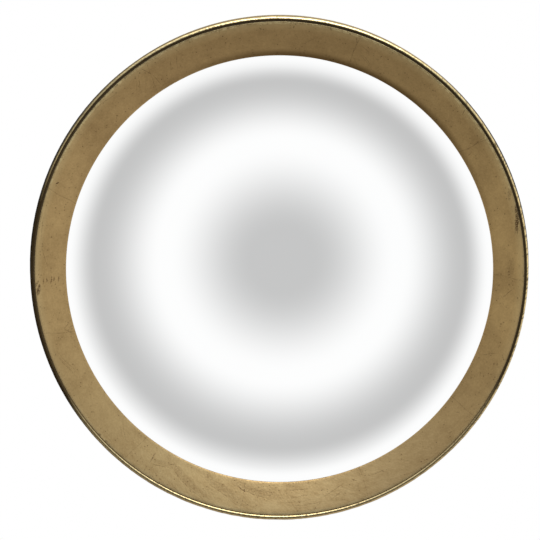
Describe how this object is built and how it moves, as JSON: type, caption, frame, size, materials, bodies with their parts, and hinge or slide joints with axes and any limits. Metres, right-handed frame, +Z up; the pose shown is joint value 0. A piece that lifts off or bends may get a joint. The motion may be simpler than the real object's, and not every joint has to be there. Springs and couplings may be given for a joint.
{
  "type": "convex wall mirror",
  "caption": "Round convex wall mirror: silvered glass dome in a narrow sloping gilded frame with a beaded edge, closed back, and swinging D-ring hangers.",
  "frame": {"origin": "where the mirror's own axis meets the wall, in the plane of the wall pads' faces", "axes": "the glass faces -Y, +Y points into the wall, +Z is up, +X is to the right as seen from the front"},
  "size_m": [0.4999, 0.073, 0.5],
  "materials": {
    "gilding": "imitation gold leaf over gesso on a turned board ring, satin, rubbed",
    "gilded_side": "imitation gold leaf on the outer side, black-brown paint inside and behind",
    "mirror_glass": "polished glass, silvered on its back",
    "felt": "black felt tape",
    "foam": "closed-cell foam",
    "bare_mdf": "unpainted fibreboard",
    "board_paint": "rolled matt black paint on fibreboard",
    "block_rubber": "moulded rubber",
    "screw_steel": "yellow-passivated zinc plate",
    "strap_steel": "bright zinc plate",
    "ring_wire": "nickel-plated steel wire",
    "pad_rubber": "soft moulded rubber"
  },
  "bodies": {
    "mirror": {"front_ring": "gilding", "rear_ring": "gilded_side", "ring_screws": "screw_steel", "sight_tape": "felt", "convex_glass": "mirror_glass", "cushion_ring": "foam", "retaining_ring": "bare_mdf", "retaining_screws": "screw_steel", "back_board": "board_paint", "back_board_screws": "screw_steel", "edge_block_upper_left": "block_rubber", "wall_pad_upper_left": "pad_rubber", "edge_block_upper_right": "block_rubber", "wall_pad_upper_right": "pad_rubber", "edge_block_lower_left": "block_rubber", "wall_pad_lower_left": "pad_rubber", "edge_block_lower_right": "block_rubber", "wall_pad_lower_right": "pad_rubber", "strap_left": "strap_steel", "strap_screw_left": "screw_steel", "strap_right": "strap_steel", "strap_screw_right": "screw_steel"},
    "hanger_ring_left": {"d_ring_left": "ring_wire"},
    "hanger_ring_right": {"d_ring_right": "ring_wire"}
  },
  "joints": [
    {"name": "ring_swing_left", "type": "hinge", "parent": "mirror", "child": "hanger_ring_left", "pos_m": [-0.14, -0.0038, 0.15248], "axis": [1, 0, 0], "range_deg": [0, 180]},
    {"name": "ring_swing_right", "type": "hinge", "parent": "mirror", "child": "hanger_ring_right", "pos_m": [0.14, -0.0038, 0.15248], "axis": [1, 0, 0], "range_deg": [0, 180]}
  ]
}
